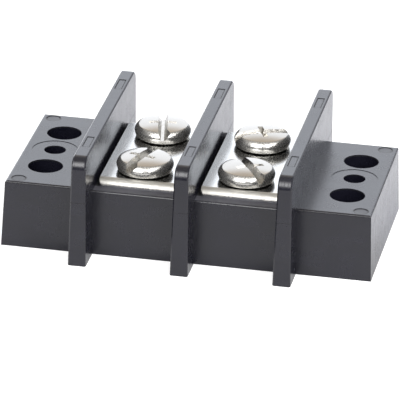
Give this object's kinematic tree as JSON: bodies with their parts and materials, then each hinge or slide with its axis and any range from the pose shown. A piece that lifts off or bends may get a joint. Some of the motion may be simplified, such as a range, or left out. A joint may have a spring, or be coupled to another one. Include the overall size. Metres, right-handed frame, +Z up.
{
  "type": "barrier terminal block",
  "caption": "Black moulded barrier terminal block with plated strips between upright barriers, binding-head screws and mounting holes through its end plates.",
  "frame": {"origin": "middle of the underside, on the surface that the block is screwed to", "axes": "+X along the block from pole to pole, +Y from the front row of screws to the back row, +Z up out of the screw heads"},
  "size_m": [0.052, 0.0354, 0.0159],
  "materials": {
    "moulded_base": "satin black moulding",
    "strip_plating": "bright nickel plate",
    "screw_plating": "bright nickel plate on steel"
  },
  "bodies": {
    "block": {"base_block": "moulded_base", "terminal_strip_1": "strip_plating", "terminal_strip_2": "strip_plating"},
    "screw_1_front": {"terminal_screw_1_front": "screw_plating"},
    "screw_1_back": {"terminal_screw_1_back": "screw_plating"},
    "screw_2_front": {"terminal_screw_2_front": "screw_plating"},
    "screw_2_back": {"terminal_screw_2_back": "screw_plating"}
  },
  "joints": [
    {"name": "screw_1_front_travel", "type": "slide", "parent": "block", "child": "screw_1_front", "axis": [0, 0, 1], "range_m": [0, 0.0048]},
    {"name": "screw_1_back_travel", "type": "slide", "parent": "block", "child": "screw_1_back", "axis": [0, 0, 1], "range_m": [0, 0.0048]},
    {"name": "screw_2_front_travel", "type": "slide", "parent": "block", "child": "screw_2_front", "axis": [0, 0, 1], "range_m": [0, 0.0048]},
    {"name": "screw_2_back_travel", "type": "slide", "parent": "block", "child": "screw_2_back", "axis": [0, 0, 1], "range_m": [0, 0.0048]}
  ]
}
